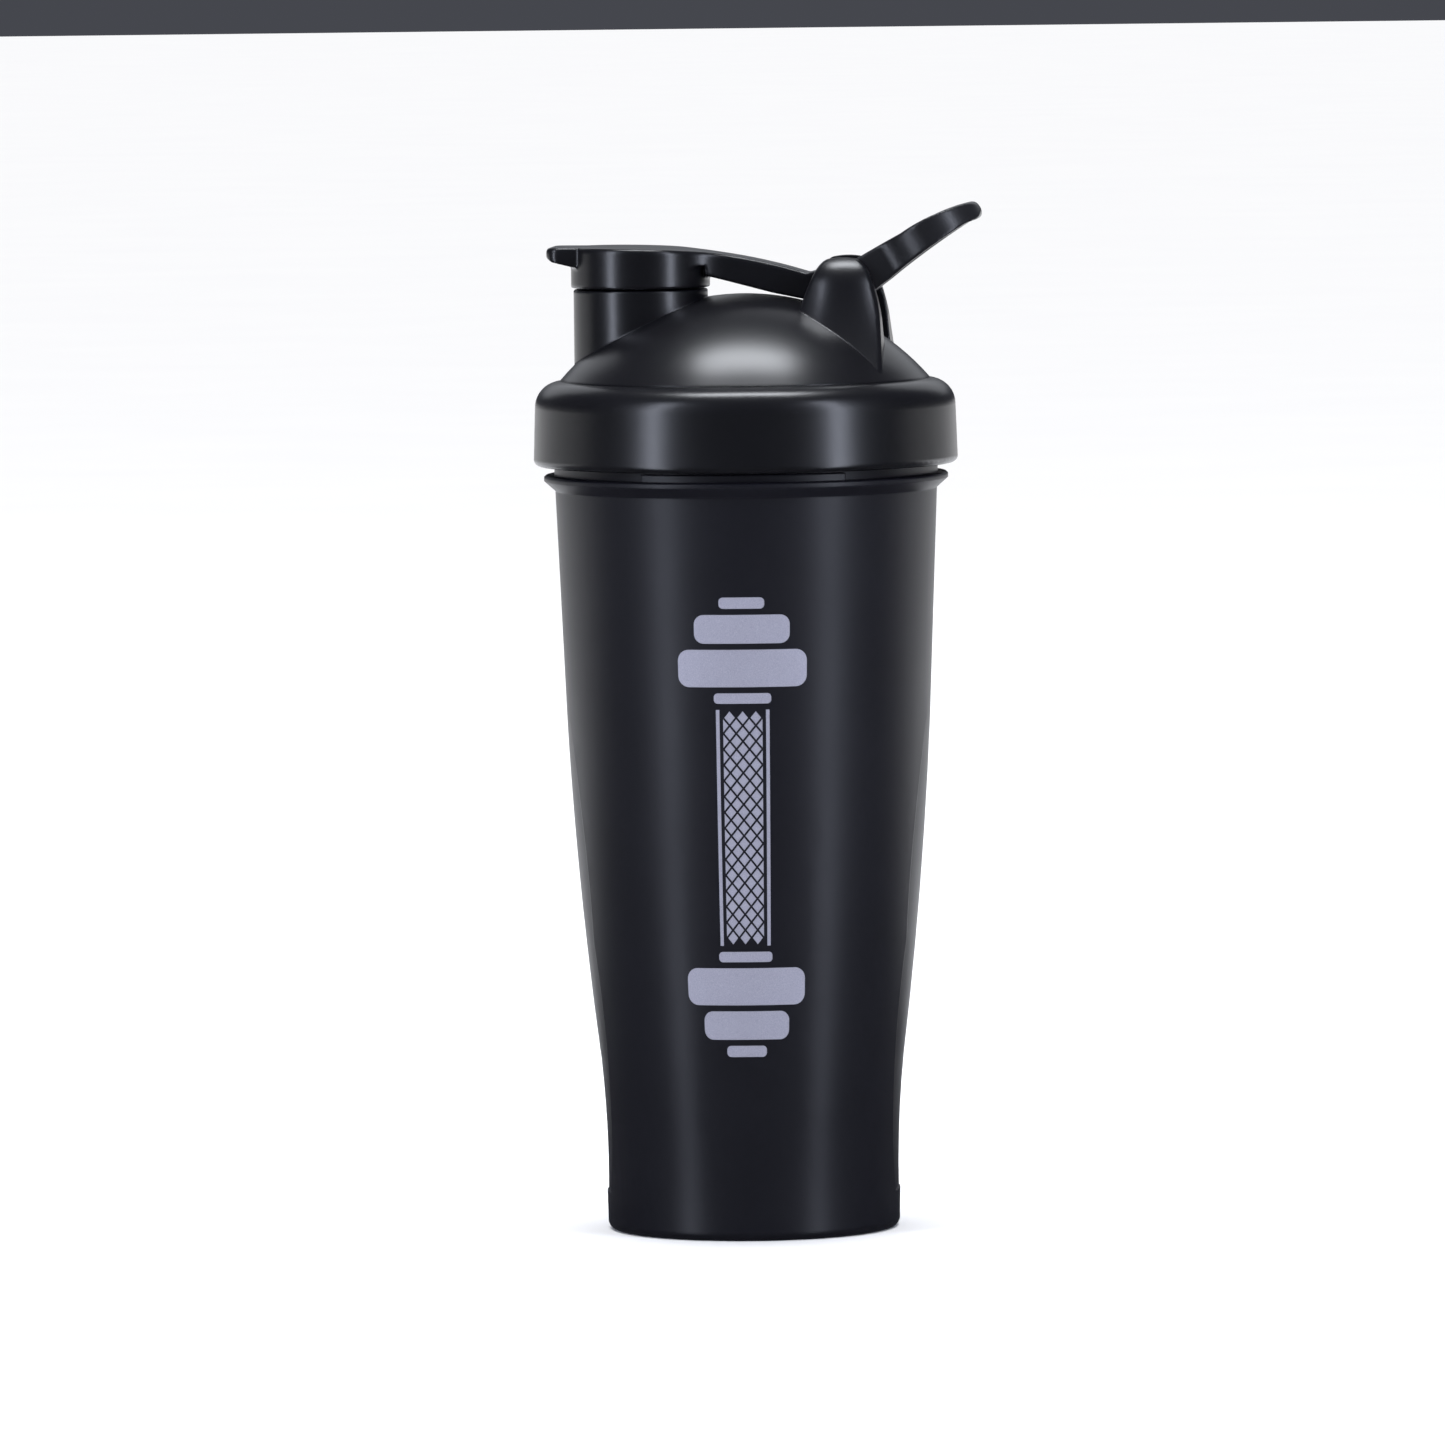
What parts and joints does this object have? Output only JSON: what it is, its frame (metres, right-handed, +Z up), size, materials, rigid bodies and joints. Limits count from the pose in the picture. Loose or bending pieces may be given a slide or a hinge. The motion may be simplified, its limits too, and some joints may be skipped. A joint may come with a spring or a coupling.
{
  "type": "protein shaker bottle",
  "caption": "Dark plastic shaker bottle with a screw lid, flip cap over an offset spout, folding carry loop and a loose wire whisk ball inside.",
  "frame": {"origin": "centre of the plane that the foot of the cup stands on", "axes": "+Z up along the cup's axis, spout towards -X, hinge pin along Y on the +X side"},
  "size_m": [0.1043, 0.0982, 0.2376],
  "materials": {
    "cup_plastic": "satin black polypropylene",
    "lid_plastic": "semi-gloss black polypropylene",
    "loop_plastic": "semi-gloss black nylon",
    "silicone": "matt grey silicone",
    "steel": "polished stainless steel wire and pin"
  },
  "bodies": {
    "cup": {"cup": "cup_plastic"},
    "gasket": {"lid_gasket": "silicone"},
    "lid": {"lid": "lid_plastic", "hinge_pin": "steel"},
    "flip_cap": {"flip_cap": "lid_plastic", "spout_seal": "silicone"},
    "carry_loop": {"carry_loop": "loop_plastic"},
    "whisk_ball": {"whisk_ball": "steel"}
  },
  "joints": [
    {"name": "lid_lift", "type": "slide", "parent": "cup", "child": "gasket", "axis": [0, 0, 1], "range_m": [0, 0.03]},
    {"name": "lid_turn", "type": "hinge", "parent": "gasket", "child": "lid", "pos_m": [0, 0, 0.18], "axis": [0, 0, 1], "range_deg": [0, 1080]},
    {"name": "cap_hinge", "type": "hinge", "parent": "lid", "child": "flip_cap", "pos_m": [0.0248, 0, 0.218], "axis": [0, 1, 0], "range_deg": [0, 95]},
    {"name": "loop_hinge", "type": "hinge", "parent": "lid", "child": "carry_loop", "pos_m": [0.0248, 0, 0.218], "axis": [0, 1, 0], "range_deg": [-8, 60]},
    {"name": "ball_slide", "type": "slide", "parent": "cup", "child": "whisk_ball", "axis": [0, 0, 1], "range_m": [0, 0.12]}
  ],
  "couplings": [
    {"joint": "lid_lift", "follows": "lid_turn", "m_per_rad": 0.0015915}
  ]
}
